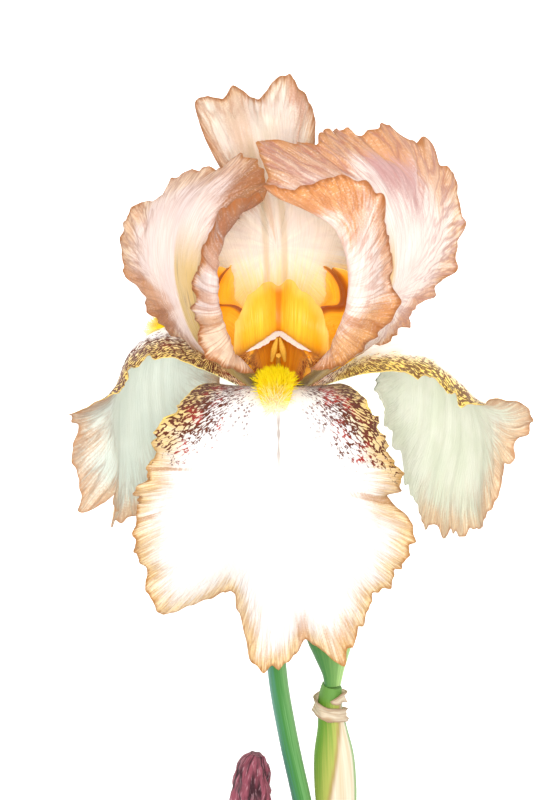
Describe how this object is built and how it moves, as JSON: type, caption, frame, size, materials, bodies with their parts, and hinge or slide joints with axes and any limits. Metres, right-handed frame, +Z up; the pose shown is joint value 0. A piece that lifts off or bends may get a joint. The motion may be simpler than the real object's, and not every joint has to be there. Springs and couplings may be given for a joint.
{
  "type": "bearded iris flower",
  "caption": "Cut bearded iris in flower, lying on its back: upright petals, hanging petals, heart of the flower, and its stalk with a side bud and a spent flower.",
  "frame": {"origin": "bottom centre of the bounding box, on the surface that the flower lies on", "axes": "+Y along the stalk towards the flower, +X to the right as the flower is looked at, +Z up from the surface towards the viewer of the open flower"},
  "size_m": [0.1386, 0.3216, 0.112],
  "materials": {
    "standard_left": "satin",
    "standard_right": "satin",
    "standard_back": "satin",
    "fall_front": "satin",
    "fall_left": "satin",
    "fall_right": "satin",
    "style_arm": "satin",
    "stamen": "matte",
    "beard": "matte",
    "perianth_tube": "satin",
    "ovary": "satin",
    "stalk": "satin",
    "sheath": "satin",
    "side_bud": "satin",
    "spent_flower": "matte"
  },
  "bodies": {
    "root": {"standard_left": "standard_left", "standard_right": "standard_right", "standard_back": "standard_back", "fall_front": "fall_front", "fall_left": "fall_left", "fall_right": "fall_right", "style_arm_front": "style_arm", "style_arm_left": "style_arm", "style_arm_right": "style_arm", "stamen_front": "stamen", "stamen_left": "stamen", "stamen_right": "stamen", "beard_front": "beard", "beard_left": "beard", "beard_right": "beard", "perianth_tube": "perianth_tube", "ovary": "ovary", "stalk": "stalk", "sheath": "sheath", "side_bud": "side_bud", "spent_flower": "spent_flower"}
  },
  "joints": []
}
